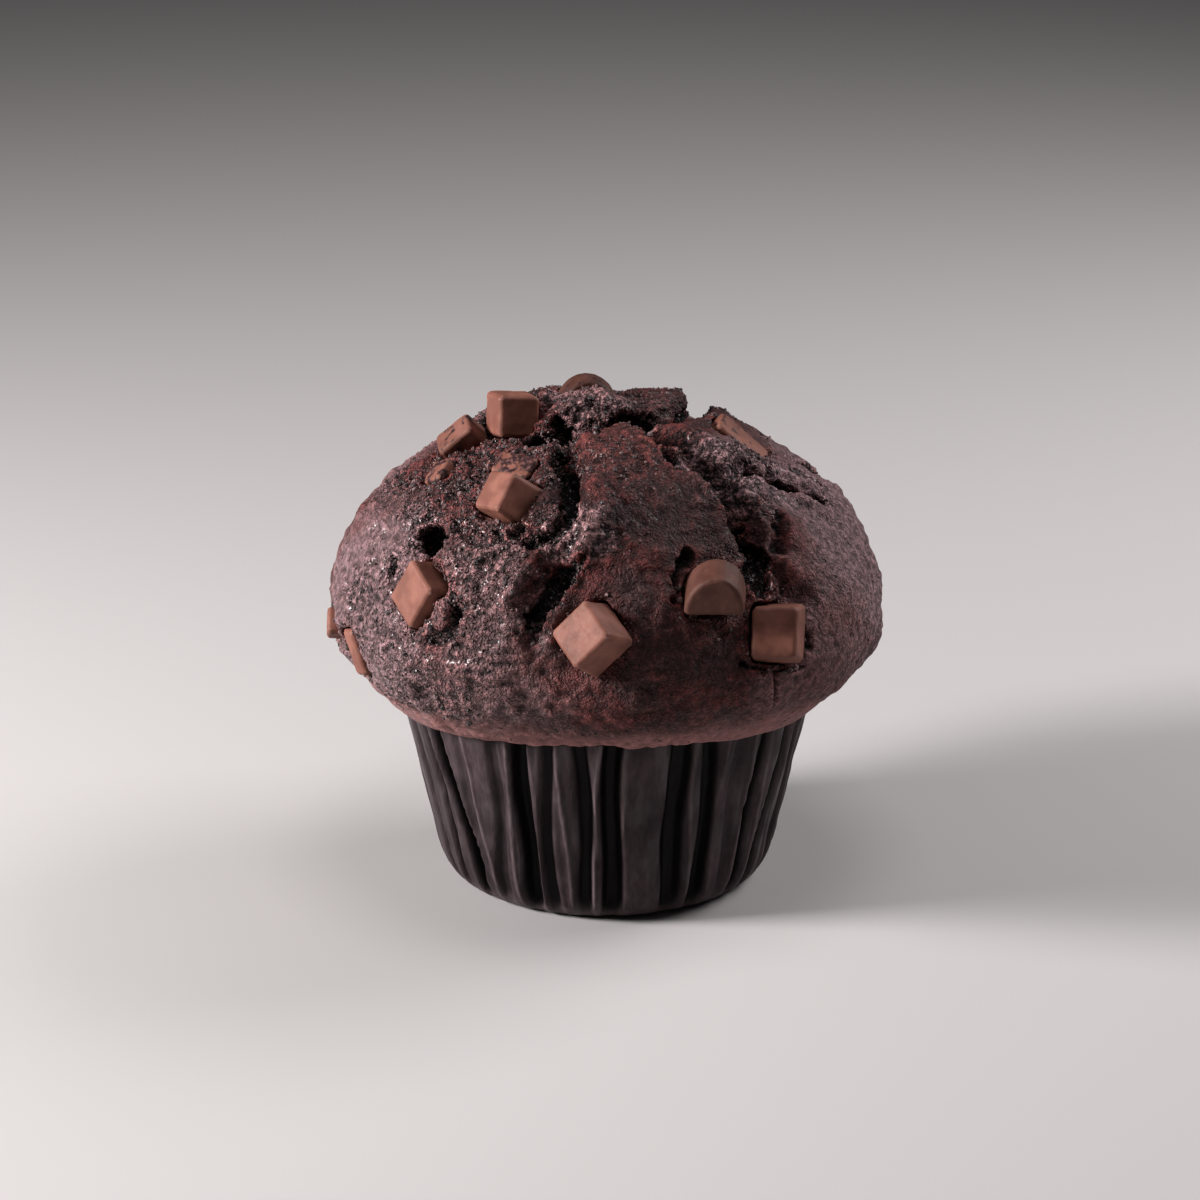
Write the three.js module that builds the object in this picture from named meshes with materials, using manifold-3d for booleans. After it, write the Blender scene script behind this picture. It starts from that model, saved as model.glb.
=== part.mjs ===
// A chocolate muffin in a pleated paper case, with chocolate chunks set in its cracked crown.
// Millimetres, +Z up. The origin is the centre of the case's flat base, and the front faces -Y.
import * as THREE from "three";
import { mergeVertices } from "three/addons/utils/BufferGeometryUtils.js";
import Module from "manifold-3d";

const wasm = await Module();
wasm.setup();

const degree = Math.PI / 180;
const fullTurn = 2 * Math.PI;

// The paper case. Its wall leans out from a rounded corner to a rim that the crown hangs over.
const paper = {
  baseRadius: 22.8,
  baseFacetRadius: 14, // one large facet in the middle of the flat base
  cornerPull: [27.0, 0.6], // where the curve from the base to the wall is drawn towards
  cornerRadius: 28.3,
  cornerHeight: 8.5,
  rimRadius: 33.1,
  rimHeight: 31.0,
  rimWave: 1.5, // the rim is higher at the front and back than at the sides
  thickness: 0.6,
  pleatDepth: 1.8,
  pleatLean: 5, // degrees that a pleat at the back wanders between base and rim
};

// Pleats that show from the front: azimuth at the rim and at the base in degrees, and depth as a
// share of pleatDepth.
const frontPleats = [
  [-82, -78, 0.55], [-70, -64, 0.5], [-60, -53, 0.6], [-55, -46.5, 1.0], [-47, -42, 0.35],
  [-33, -36, 0.4], [-24.5, -26, 1.0], [-17, -18, 0.5], [-7, -6, 0.6], [2.3, 1, 1.0],
  [20.8, 22.8, 0.95], [30.7, 33, 0.95], [41, 41, 0.2], [50, 49, 0.95], [62.5, 57, 0.8],
  [72, 70, 0.5], [82, 82, 0.6],
];
const backPleats = 17;

// The crown: an underside that flares from the rim, and a slightly pointed dome.
const crown = {
  ledgeRadius: 33.6,
  flareLow: [36.9, 34.2],
  flareHigh: [44.3, 38.0],
  widestRadius: 44.3,
  widestHeight: 46.5,
  topHeight: 79.0,
  pointedness: 1.2,
  centreHeight: 45, // the point that the angles of cracks and chunks are measured from
};

const fit = 0.35; // clearance between neighbouring pieces
const crustFacet = 2.25; // side of a facet on the dome
const undersideRings = 6;
const domeRings = 30;
const stumpColumns = 96;

// Cracks in the crown: a path of [azimuth, elevation] in degrees, a half width and a depth.
const cracks = [
  { path: [[-68, 54], [-60, 60], [-42, 66], [-20, 76], [16, 76], [33, 68], [38, 57], [42, 45],
    [41, 34], [38, 24], [31, 19]], width: 2.8, depth: 4.4 },
  { path: [[-26, 68], [-14, 56], [-10, 46], [-12, 38], [-22, 31]], width: 2.3, depth: 4.0 },
  { path: [[-9, 28], [-13, 22], [-16, 15], [-14, 9]], width: 1.9, depth: 2.6 },
  { path: [[44, 47], [59, 44], [66, 38], [80, 29]], width: 1.9, depth: 3.0 },
  { path: [[53, 37], [47, 28], [42, 22], [41, 15], [47, 12]], width: 1.6, depth: 2.6 },
  { path: [[-40, 21], [-33, 16], [-32, 10]], width: 1.6, depth: 2.2 },
  { path: [[-75, 58], [-98, 56], [-128, 58], [-155, 48], [-168, 36]], width: 2.3, depth: 3.6 },
  { path: [[24, 74], [70, 72], [104, 66], [125, 59], [142, 48], [146, 36]], width: 2.2, depth: 3.6 },
  { path: [[142, 47], [168, 54], [-166, 60]], width: 1.9, depth: 2.8 },
  { path: [[100, 36], [112, 24], [110, 12]], width: 1.8, depth: 2.6 },
  { path: [[-118, 40], [-112, 28], [-120, 16]], width: 1.8, depth: 2.6 },
];
const crackLip = 0.6; // the crust curls up along each crack

// Swollen plates of crust between the cracks, and dents where the rise is below 0: centre in
// degrees, reach and rise in millimetres.
const plates = [
  { at: [10, 50], reach: 21, rise: 1.7 },
  { at: [-28, 12], reach: 17, rise: 0.9 },
  { at: [66, 18], reach: 18, rise: 0.8 },
  { at: [-120, 76], reach: 13, rise: 1.3 },
  { at: [110, 78], reach: 11, rise: 0.9 },
  { at: [-109, 44], reach: 16, rise: -1.7 },
  { at: [170, 28], reach: 19, rise: 1.2 },
  { at: [106, 40], reach: 11, rise: -1.1 },
  { at: [140, 67], reach: 8, rise: 1.2 },
];

// Burst bubbles: centre in degrees, radius and depth in millimetres.
const pits = [
  { at: [-46, 26], radius: 3.1, depth: 3.4 },
  { at: [-53, 17], radius: 2.1, depth: 1.8 },
  { at: [84, 27], radius: 2.4, depth: 1.8 },
  { at: [-140, 30], radius: 2.6, depth: 2.4 },
  { at: [150, 14], radius: 2.2, depth: 1.8 },
];

// Chocolate chunks. at is [azimuth, elevation] on the crown, and lift raises the chunk's middle
// over the crust there. face is the azimuth and elevation that its outer face looks towards, and
// spin turns it on that axis. size is width, height and depth behind the outer face. An arched
// chunk has a round upper side. draft is how much narrower it gets with each millimetre outwards.
const chunks = [
  { at: [-150, 80], size: [9.8, 6.6, 6.2], lift: -0.6, face: [6, 4], spin: 0, arched: true },
  { at: [-80, 65], size: [6.6, 6.6, 6.4], lift: 0.7, face: [20, 8], spin: -5 },
  { at: [-85, 50.5], size: [4.6, 6.8, 4.8], lift: -0.5, face: [-58, 44], spin: -28 },
  { at: [-30.2, 39.6], size: [6.6, 6.6, 6.6], lift: 0.5, face: [-58.6, 39.6], spin: 11, draft: 0.022 },
  { at: [-39, 51.5], size: [7.0, 4.4, 4.6], lift: -1.9, face: [-28, 54], spin: -4 },
  { at: [-43.1, 15.3], size: [7.6, 7.6, 6.2], lift: -1.7, face: [-56.4, 17.1], spin: -25.4 },
  { at: [-3, 11.1], size: [7.7, 7.7, 6.4], lift: 0.6, face: [-36, 24.9], spin: -36.7, draft: 0.022 },
  { at: [23.4, 19], size: [8.9, 6.2, 6.6], lift: 1.4, face: [-2, -11], spin: -2, arched: true },
  { at: [36, 8.6], size: [7.0, 7.8, 6.2], lift: 0.3, face: [-8, 20], spin: 2, draft: 0.034 },
  { at: [-80, -1.5], size: [4.4, 4.6, 4.8], lift: -1.4, face: [-84, 4], spin: 30, arched: true },
  { at: [-69, -5.5], size: [4.6, 7.8, 4.6], lift: -2.9, face: [-68, -14], spin: 14 },
  { at: [90, 52.5], size: [6.8, 10.0, 4.6], lift: -3.0, face: [80, 48], spin: 4 },
  { at: [-70, 42], size: [4.4, 4.6, 4.6], lift: -2.2, face: [-72, 46], spin: 30 },
  { at: [137, 7], size: [8.0, 7.6, 6.2], lift: 0.4, face: [122, 20], spin: 34 },
  { at: [154, 22], size: [7.6, 8.0, 6.4], lift: -0.6, face: [168, 28], spin: 18 },
  { at: [166, 8], size: [8.2, 7.4, 6.0], lift: 0.4, face: [160, 12], spin: 8 },
  { at: [-168, 35], size: [8.8, 6.2, 7.0], lift: 0.5, face: [-160, 20], spin: 6, arched: true },
  { at: [-152, 10], size: [7.8, 8.0, 6.2], lift: 0.9, face: [-140, 18], spin: 50 },
  { at: [-122, 5], size: [8.0, 6.6, 6.0], lift: -0.3, face: [-124, 8], spin: 24 },
  { at: [-142, 24], size: [7.6, 7.8, 6.2], lift: -0.4, face: [-126, 40], spin: 38 },
];
const chunkEdge = 0.38; // bevel along a chunk's edges
const chunkCorner = 0.3; // cut off a chunk's upright corners
const chunkDraft = 0.013; // for a chunk that names no draft
const haloDepth = 0.9; // the crust sinks a little round each chunk
const haloReach = 2.2;

const mix = (a, b, t) => a + (b - a) * t;

function smooth(low, high, x) {
  const t = Math.min(1, Math.max(0, (x - low) / (high - low)));
  return t * t * (3 - 2 * t);
}

// Front is azimuth 0, and azimuths grow towards +X.
function onCircle(radius, azimuth, height) {
  return new THREE.Vector3(radius * Math.sin(azimuth), -radius * Math.cos(azimuth), height);
}

function onSphere(azimuth, elevation) {
  return onCircle(Math.cos(elevation), azimuth, Math.sin(elevation));
}

const rimHeightAt = (azimuth) => paper.rimHeight + paper.rimWave * Math.cos(2 * azimuth);

// The crown's profile in the XY plane (x is radius, y is height), from the ledge to the top.
const underside = new THREE.CubicBezierCurve(
  new THREE.Vector2(crown.ledgeRadius, paper.rimHeight + fit),
  new THREE.Vector2(...crown.flareLow),
  new THREE.Vector2(...crown.flareHigh),
  new THREE.Vector2(crown.widestRadius, crown.widestHeight),
);

class DomeCurve extends THREE.Curve {
  getPoint(t, target = new THREE.Vector2()) {
    const angle = (t * Math.PI) / 2;
    return target.set(
      crown.widestRadius * Math.max(0, Math.cos(angle)) ** crown.pointedness,
      mix(crown.widestHeight, crown.topHeight, Math.sin(angle)),
    );
  }
}
const dome = new DomeCurve();

// The smooth crown's point in a direction given by azimuth and elevation from its centre.
function crownPoint([azimuthDegrees, elevationDegrees]) {
  const curve = elevationDegrees > 2 ? dome : underside;
  const samples = 400;
  let best = { miss: Infinity };
  for (let i = 0; i <= samples; i++) {
    const point = curve.getPoint(i / samples);
    const elevation = Math.atan2(point.y - crown.centreHeight, point.x) / degree;
    const miss = Math.abs(elevation - elevationDegrees);
    if (miss < best.miss) best = { miss, point, tangent: curve.getTangent(i / samples) };
  }
  const azimuth = azimuthDegrees * degree;
  return {
    position: onCircle(best.point.x, azimuth, best.point.y),
    normal: onCircle(best.tangent.y, azimuth, -best.tangent.x).normalize(),
  };
}

// Long soft swells: waves in evenly spread directions, each shorter and lower than the last.
const swells = [];
for (let k = 0; k < 9; k++) {
  const z = 1 - (2 * k + 1) / 9;
  const turn = k * 2.39996;
  const flat = Math.sqrt(1 - z * z);
  swells.push({
    direction: new THREE.Vector3(flat * Math.cos(turn), flat * Math.sin(turn), z),
    wavelength: 40 * 0.86 ** k,
    height: 0.42 * 0.88 ** k,
    phase: 1.7 * k,
  });
}

function swellAt(point, shrink = 1) {
  let sum = 0;
  for (const swell of swells) {
    const travel = (fullTurn * point.dot(swell.direction)) / (swell.wavelength * shrink);
    sum += swell.height * Math.sin(travel + swell.phase);
  }
  return sum;
}

for (const crack of cracks) crack.points = crack.path.map((at) => crownPoint(at).position);
for (const plate of plates) plate.centre = crownPoint(plate.at).position;
for (const pit of pits) pit.centre = crownPoint(pit.at).position;
for (const chunk of chunks) Object.assign(chunk, crownPoint(chunk.at));

// The cut of the deepest crack at a point, and the lip beside it. Cracks narrow and get
// shallower towards both ends.
function crackReliefAt(point) {
  const nearest = new THREE.Vector3();
  const wander = 0.9 * swellAt(point, 0.33);
  let cut = 0;
  let lip = 0;
  for (const { points, width, depth } of cracks) {
    const last = points.length - 1;
    for (let i = 0; i < last; i++) {
      const segment = new THREE.Line3(points[i], points[i + 1]);
      const share = segment.closestPointToPointParameter(point, true);
      const away = point.distanceTo(segment.at(share, nearest)) + wander;
      if (away > width * 3) continue;
      const full = Math.sin((Math.PI * (i + share)) / last) ** 0.5;
      const half = width * mix(0.45, 1, full);
      cut = Math.max(cut, depth * mix(0.35, 1, full) * (1 - smooth(0.25 * half, 1.2 * half, away)));
      const fade = 1 - smooth(1.4 * half, 2.8 * half, away);
      lip = Math.max(lip, crackLip * full * smooth(0.9 * half, 1.4 * half, away) * fade);
    }
  }
  return cut > 0.2 ? -cut : lip - cut;
}

// The crust's relief over the smooth crown, in millimetres along the normal.
function reliefAt(point) {
  let relief = swellAt(point) + crackReliefAt(point);
  for (const { centre, reach, rise } of plates)
    relief += rise * (1 - smooth(0.35 * reach, reach, point.distanceTo(centre)));
  for (const { centre, radius, depth } of pits)
    relief -= depth * (1 - smooth(0.3 * radius, 1.2 * radius, point.distanceTo(centre)));
  for (const { position, size } of chunks) {
    const foot = 0.42 * Math.hypot(size[0], size[1]);
    relief -= haloDepth * (1 - smooth(foot - 1, foot + haloReach, point.distanceTo(position)));
  }
  return relief;
}

// A ring of points round the muffin; a ring of one point closes an end.
const ringOf = (azimuths, pointAt) => ({ azimuths, points: azimuths.map(pointAt) });

function evenAzimuths(count, shift = 0) {
  return Array.from({ length: count }, (_, i) => (fullTurn * (i + shift)) / count);
}

// The facets between two rings, which need not have as many points as each other.
function bridge(lower, upper) {
  const steps = (ring) => (ring.points.length > 1 ? ring.points.length : 0);
  const corner = (ring, k) => ring.first + (k % ring.points.length);
  const turn = (ring, k) => {
    if (k > steps(ring)) return Infinity;
    return k < ring.points.length ? ring.azimuths[k] : ring.azimuths[0] + fullTurn;
  };
  const facets = [];
  let i = 0;
  let j = 0;
  while (i < steps(lower) || j < steps(upper)) {
    if (turn(lower, i + 1) <= turn(upper, j + 1)) {
      facets.push(corner(lower, i), corner(lower, i + 1), corner(upper, j));
      i += 1;
    } else {
      facets.push(corner(lower, i), corner(upper, j + 1), corner(upper, j));
      j += 1;
    }
  }
  return facets;
}

// A closed skin over rings that run up from the underside. A first ring of three points is
// closed by one facet.
function skin(rings) {
  let first = 0;
  for (const ring of rings) {
    ring.first = first;
    first += ring.points.length;
  }
  const facets = rings.slice(1).flatMap((ring, i) => bridge(rings[i], ring));
  if (rings[0].points.length === 3) facets.push(0, 2, 1);
  const geometry = new THREE.BufferGeometry();
  geometry.setFromPoints(rings.flatMap((ring) => ring.points));
  geometry.setIndex(facets);
  return geometry;
}

function toSolid(geometry, matrix = new THREE.Matrix4()) {
  const bare = new THREE.BufferGeometry();
  bare.setAttribute("position", geometry.getAttribute("position").clone());
  if (geometry.index) bare.setIndex(geometry.index.clone());
  const merged = mergeVertices(bare.applyMatrix4(matrix), 1e-3);
  return new wasm.Manifold(
    new wasm.Mesh({
      numProp: 3,
      vertProperties: new Float32Array(merged.attributes.position.array),
      triVerts: new Uint32Array(merged.index.array),
    }),
  );
}

function toGeometry(solid) {
  const { vertProperties, triVerts } = solid.getMesh();
  const geometry = new THREE.BufferGeometry();
  geometry.setAttribute("position", new THREE.BufferAttribute(vertProperties, 3));
  geometry.setIndex(new THREE.BufferAttribute(triVerts, 1));
  geometry.computeVertexNormals();
  return geometry;
}

// The pleats all round: those that show in front, then even ones with a little wander behind.
function allPleats() {
  const pleats = frontPleats.map(([rim, base, depth]) => ({ rim, base, depth }));
  const start = pleats.at(-1).rim;
  const step = (360 + pleats[0].rim - start) / (backPleats + 1);
  for (let k = 1; k <= backPleats; k++) {
    const azimuth = start + step * (k + 0.22 * Math.sin(7.3 * k));
    const lean = paper.pleatLean * Math.sin(2.6 * k);
    const depth = 0.68 + 0.3 * Math.sin(4.1 * k + 1);
    pleats.push({ rim: azimuth + lean / 2, base: azimuth - lean / 2, depth });
  }
  return pleats;
}

// One level of the case's wall: four points to a pleat, from groove over ridge to groove. The
// ring's own azimuths are even, so that a leaning pleat is joined to itself above and below.
function pleatedRing(radius, heightAt, climb, depthShare) {
  const pleats = allPleats();
  const azimuths = [];
  const points = [];
  pleats.forEach((pleat, k) => {
    const next = pleats[(k + 1) % pleats.length];
    const wrap = k + 1 === pleats.length ? 360 : 0;
    const from = mix(pleat.base, pleat.rim, climb);
    const to = mix(next.base, next.rim, climb) + wrap;
    for (const share of [0, 0.26, 0.5, 0.74]) {
      const azimuth = mix(from, to, share) * degree;
      const even = pleats[0].base * degree + (fullTurn * (k + share)) / pleats.length;
      const valley = 1 - Math.sin(Math.PI * share) ** 0.8;
      const cut = paper.pleatDepth * depthShare * mix(pleat.depth, next.depth, share) * valley;
      azimuths.push(even);
      points.push(onCircle(radius - cut, azimuth, heightAt(azimuth)));
    }
  });
  return { azimuths, points };
}

// One side of the case's wall, from the base round the corner and up to the rim.
function wallSide(inset, cornerSteps, wallSteps) {
  const corner = new THREE.QuadraticBezierCurve(
    new THREE.Vector2(paper.baseRadius - 0.7 * inset, inset),
    new THREE.Vector2(paper.cornerPull[0] - 1.2 * inset, paper.cornerPull[1] + inset),
    new THREE.Vector2(paper.cornerRadius - inset, paper.cornerHeight),
  );
  const cornerClimb = 0.25;
  const rings = [];
  for (let i = 0; i <= cornerSteps; i++) {
    const share = i / cornerSteps;
    const point = corner.getPoint(share);
    rings.push(pleatedRing(point.x, () => point.y, cornerClimb * share, mix(0.3, 1, share)));
  }
  for (let i = 1; i <= wallSteps; i++) {
    const share = i / wallSteps;
    const radius = mix(paper.cornerRadius, paper.rimRadius, share) - inset;
    const heightAt = (azimuth) => mix(paper.cornerHeight, rimHeightAt(azimuth), share);
    rings.push(pleatedRing(radius, heightAt, mix(cornerClimb, 1, share), 1));
  }
  return rings;
}

// The case: outside from the flat base up to the rim, then the inside down to its floor.
function buildCase() {
  const start = allPleats()[0].base * degree;
  const base = ringOf(
    evenAzimuths(3).map((azimuth) => azimuth + start),
    (azimuth) => onCircle(paper.baseFacetRadius, azimuth, 0),
  );
  const floor = ringOf([start], () => new THREE.Vector3(0, 0, paper.thickness));
  const inside = wallSide(paper.thickness, 1, 2).reverse();
  return skin([base, ...wallSide(0, 3, 4), ...inside, floor]);
}

// Evenly spaced points of a profile with their outward normals.
function alongProfile(curve, count) {
  return Array.from({ length: count }, (_, i) => {
    const share = (i + 1) / count;
    const point = curve.getPointAt(share);
    const along = curve.getTangentAt(Math.min(share, 0.999));
    return { radius: point.x, height: point.y, outward: along.y, upward: -along.x };
  });
}

// One ring of the crown's crust. flare goes from 0 at the ledge to 1 where the dome begins.
function crustRing({ radius, height, outward, upward }, flare, shift) {
  const count = Math.max(6, Math.round((fullTurn * radius) / crustFacet));
  return ringOf(evenAzimuths(count, shift), (azimuth) => {
    const point = onCircle(radius, azimuth, height);
    const relief = reliefAt(point) * smooth(0, 0.8, flare);
    point.z += (rimHeightAt(azimuth) - paper.rimHeight) * (1 - flare) ** 2;
    return point.add(onCircle(outward * relief, azimuth, upward * relief));
  });
}

// The cake: a plain stump inside the case, a ledge over the rim, and the cracked crown.
function buildCake() {
  const clear = paper.thickness + paper.pleatDepth + 2 * fit;
  const floorHeight = paper.thickness + fit;
  const stumpRing = (radius, heightAt) =>
    ringOf(evenAzimuths(stumpColumns), (azimuth) => onCircle(radius, azimuth, heightAt(azimuth)));
  const ledgeHeight = (azimuth) => rimHeightAt(azimuth) + fit;
  const stump = [
    ringOf([0], () => new THREE.Vector3(0, 0, floorHeight)),
    stumpRing(paper.baseRadius - clear, () => floorHeight),
    stumpRing(paper.cornerRadius - clear, () => paper.cornerHeight),
    stumpRing(paper.rimRadius - clear, ledgeHeight),
    stumpRing(crown.ledgeRadius, ledgeHeight),
  ];
  const flare = alongProfile(underside, undersideRings);
  const vault = alongProfile(dome, domeRings).slice(0, -1);
  const crust = [...flare, ...vault].map((level, i) =>
    crustRing(level, Math.min(1, (i + 1) / undersideRings), (i % 2) / 2),
  );
  const top = new THREE.Vector3(0, 0, crown.topHeight);
  top.z += reliefAt(top);
  return skin([...stump, ...crust, ringOf([0], () => top)]);
}

// A chunk about its own middle, grown by a margin on every side. It narrows towards its outer
// face and is a little skewed, no two alike.
function chunkShape({ size, arched, draft = chunkDraft }, seed, margin) {
  const [width, height, depth] = size.map((side) => side + 2 * margin - 2 * chunkEdge);
  const [x, y] = [width / 2, height / 2];
  const cut = chunkCorner;
  const outline = new THREE.Shape();
  outline.moveTo(-x + cut, -y);
  outline.lineTo(x - cut, -y);
  outline.lineTo(x, -y + cut);
  if (arched) {
    outline.absellipse(0, -y + cut, x, height - cut, 0, Math.PI, false, 0);
  } else {
    outline.lineTo(x, y - cut);
    outline.lineTo(x - cut, y);
    outline.lineTo(-x + cut, y);
    outline.lineTo(-x, y - cut);
  }
  outline.lineTo(-x, -y + cut);
  const geometry = new THREE.ExtrudeGeometry(outline, {
    depth,
    curveSegments: 6,
    bevelSegments: 1,
    bevelSize: chunkEdge,
    bevelThickness: chunkEdge,
  });
  geometry.translate(0, 0, -depth / 2);
  const skew = 0.03 * Math.sin(5.7 * seed);
  const slant = 0.04 * Math.sin(2.3 * seed);
  const place = geometry.getAttribute("position");
  for (let i = 0; i < place.count; i++) {
    const [px, py, pz] = [place.getX(i), place.getY(i), place.getZ(i)];
    const narrow = 1 - draft * (pz - depth / 2) + 0.03 * Math.sin(3.1 * seed);
    place.setXYZ(i, px * narrow + skew * py, py * narrow + skew * px, pz + slant * px);
  }
  return geometry;
}

// Seats a chunk in the crust with its outer face turned the way it looks.
function chunkMatrix({ position, normal, lift, face, spin }) {
  const [azimuth, elevation] = face.map((angle) => angle * degree);
  const outward = onSphere(azimuth, elevation);
  const upward = onSphere(azimuth, elevation + Math.PI / 2);
  const sideways = new THREE.Vector3().crossVectors(upward, outward);
  const turned = new THREE.Matrix4().makeBasis(sideways, upward, outward);
  turned.multiply(new THREE.Matrix4().makeRotationZ(spin * degree));
  return turned.setPosition(position.clone().addScaledVector(normal, lift));
}

const crustMaterial = new THREE.MeshStandardMaterial({ color: 0x3f2321, roughness: 0.55 });
const paperMaterial = new THREE.MeshStandardMaterial({ color: 0x2a2224, roughness: 0.6 });
const chocolateMaterial = new THREE.MeshStandardMaterial({ color: 0x6b3a2c, roughness: 0.35 });

function named(name, geometry, material) {
  const mesh = new THREE.Mesh(geometry, material);
  mesh.name = name;
  return mesh;
}

const muffin = new THREE.Group();
muffin.add(named("paper_case", buildCase(), paperMaterial));

let cake = toSolid(buildCake());
chunks.forEach((chunk, k) => {
  const matrix = chunkMatrix(chunk);
  cake = cake.subtract(toSolid(chunkShape(chunk, k, fit), matrix));
  const solid = toSolid(chunkShape(chunk, k, 0), matrix);
  const name = `chunk_${String(k + 1).padStart(2, "0")}`;
  muffin.add(named(name, toGeometry(solid), chocolateMaterial));
});
const bodies = cake.decompose().sort((a, b) => b.volume() - a.volume());
muffin.add(named("cake", toGeometry(bodies[0]), crustMaterial));

export default muffin;
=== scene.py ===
import math
import bpy
import numpy as np
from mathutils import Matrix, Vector
from mathutils.bvhtree import BVHTree


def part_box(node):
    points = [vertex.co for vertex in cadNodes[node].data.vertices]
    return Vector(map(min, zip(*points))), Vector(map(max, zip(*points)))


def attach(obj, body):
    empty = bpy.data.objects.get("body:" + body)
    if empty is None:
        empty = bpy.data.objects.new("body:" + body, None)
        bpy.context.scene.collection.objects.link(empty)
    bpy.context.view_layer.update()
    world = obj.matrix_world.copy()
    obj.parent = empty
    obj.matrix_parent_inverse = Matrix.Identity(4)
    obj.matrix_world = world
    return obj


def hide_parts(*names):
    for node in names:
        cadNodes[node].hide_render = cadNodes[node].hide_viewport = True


# A dark chocolate muffin with milk chocolate chunks in its cracked crown, in a pleated paper case.
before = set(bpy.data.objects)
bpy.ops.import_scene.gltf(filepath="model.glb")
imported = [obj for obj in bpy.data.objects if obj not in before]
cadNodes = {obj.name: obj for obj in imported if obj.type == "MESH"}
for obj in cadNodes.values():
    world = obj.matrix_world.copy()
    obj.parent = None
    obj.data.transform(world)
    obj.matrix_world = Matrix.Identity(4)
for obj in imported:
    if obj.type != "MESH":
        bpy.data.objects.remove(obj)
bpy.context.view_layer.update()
mm = 0.001
mergeDistance = 0.005 * mm
chunkNames = sorted(name for name in cadNodes if name.startswith("chunk_"))

# Camera, light and floor
cameraView = {
    "target": (-0.0009, 0.0, 0.0454),
    "elevation": 18.0,  # degrees above the horizon
    "distance": 0.600,
    "lens": 111.6,
    "sensorWidth": 36.0,
}
studioLights = {
    # name: place, size, power, colour
    "keyLight": ((-0.56, -0.12, 0.28), 0.16, 8.4, (1.0, 0.955, 0.95)),
    "rimLight": ((0.46, 0.20, 0.42), 0.34, 3.4, (1.0, 0.955, 0.965)),
    "topLight": ((0.04, -0.10, 0.68), 0.26, 1.15, (1.0, 0.955, 0.97)),
}
studioAir = {"colour": (0.95, 0.94, 1.0), "strength": 0.028}
floorLook = {"size": 8.0, "colour": (0.42, 0.412, 0.408), "roughness": 0.9}


# Small helpers
def deselectAll():
    bpy.ops.object.select_all(action="DESELECT")


def makeActive(piece):
    deselectAll()
    piece.select_set(True)
    bpy.context.view_layer.objects.active = piece


def editAll(piece, operator, **settings):
    # Runs one edit mode operator on the whole mesh.
    makeActive(piece)
    bpy.ops.object.mode_set(mode="EDIT")
    bpy.ops.mesh.select_all(action="SELECT")
    operator(**settings)
    bpy.ops.object.mode_set(mode="OBJECT")


def copyNode(nodeName, pieceName):
    # A CAD node's mesh is loose triangles, so the copy's doubles are merged first.
    piece = bpy.data.objects.new(pieceName, cadNodes[nodeName].data.copy())
    bpy.context.scene.collection.objects.link(piece)
    piece.data.name = pieceName
    piece.data.materials.clear()
    editAll(piece, bpy.ops.mesh.remove_doubles, threshold=mergeDistance)
    return piece


def applyModifier(piece, kind, **settings):
    makeActive(piece)
    modifier = piece.modifiers.new(kind.lower(), kind)
    for name, value in settings.items():
        setattr(modifier, name, value)
    bpy.ops.object.modifier_apply(modifier=modifier.name)


def readValues(items, name, width=3, kind=np.float32):
    values = np.empty(len(items) * width, dtype=kind)
    items.foreach_get(name, values)
    return values.reshape(-1, width)


def readPoints(piece):
    # All shaping in code is done in millimetres.
    return readValues(piece.data.vertices, "co").astype(np.float64) / mm


def writePoints(piece, points):
    piece.data.vertices.foreach_set("co", (points * mm).astype(np.float32).ravel())
    piece.data.update()


def readNormals(piece):
    return readValues(piece.data.vertex_normals, "vector").astype(np.float64)


def readEdges(piece):
    return readValues(piece.data.edges, "vertices", 2, np.int32)


def writeAttribute(piece, name, values):
    attribute = piece.data.attributes.new(name, "FLOAT", "POINT")
    attribute.data.foreach_set("value", values.astype(np.float32))


def smoothStep(low, high, values):
    t = np.clip((values - low) / (high - low), 0, 1)
    return t * t * (3 - 2 * t)


def hashed(cells, seed):
    # A repeatable random number from 0 to 1 for each cell of a grid.
    mask = np.uint64(0xFFFFFFFF)
    x, y, z = (cells[..., k].astype(np.int64).view(np.uint64) for k in range(3))
    value = (x * np.uint64(73856093)) ^ (y * np.uint64(19349663)) ^ (z * np.uint64(83492791))
    value = (value ^ np.uint64(seed * 2654435761 % 4294967296)) & mask
    for factor in (2246822519, 3266489917):
        value = ((value ^ (value >> np.uint64(15))) * np.uint64(factor)) & mask
    return ((value ^ (value >> np.uint64(16))) & mask).astype(np.float64) / 4294967295.0


def softNoise(points, size, seed):
    # Gradient noise, about -1 to 1. size is the grid's step, and may differ along each axis.
    scaled = points / np.asarray(size, dtype=np.float64)
    cell = np.floor(scaled)
    inside = scaled - cell
    ease = inside ** 3 * (inside * (inside * 6 - 15) + 10)
    total = np.zeros(len(points))
    for corner in np.ndindex(2, 2, 2):
        corner = np.array(corner)
        at = cell + corner
        slope = np.stack([hashed(at, seed + k) * 2 - 1 for k in range(3)], axis=1)
        weight = np.prod(np.where(corner == 1, ease, 1 - ease), axis=1)
        total += weight * np.sum(slope * (inside - corner), axis=1)
    return total * 1.6


def cellNoise(points, size, seed):
    # Distance to the nearest of a random point in each grid cell, in cells.
    scaled = points / size
    cell = np.floor(scaled)
    nearest = np.full(len(points), 9.0)
    for shift in np.ndindex(3, 3, 3):
        at = cell + np.array(shift) - 1
        centre = at + np.stack([hashed(at, seed + k) for k in range(3)], axis=1)
        nearest = np.minimum(nearest, np.linalg.norm(scaled - centre, axis=1))
    return nearest


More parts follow.
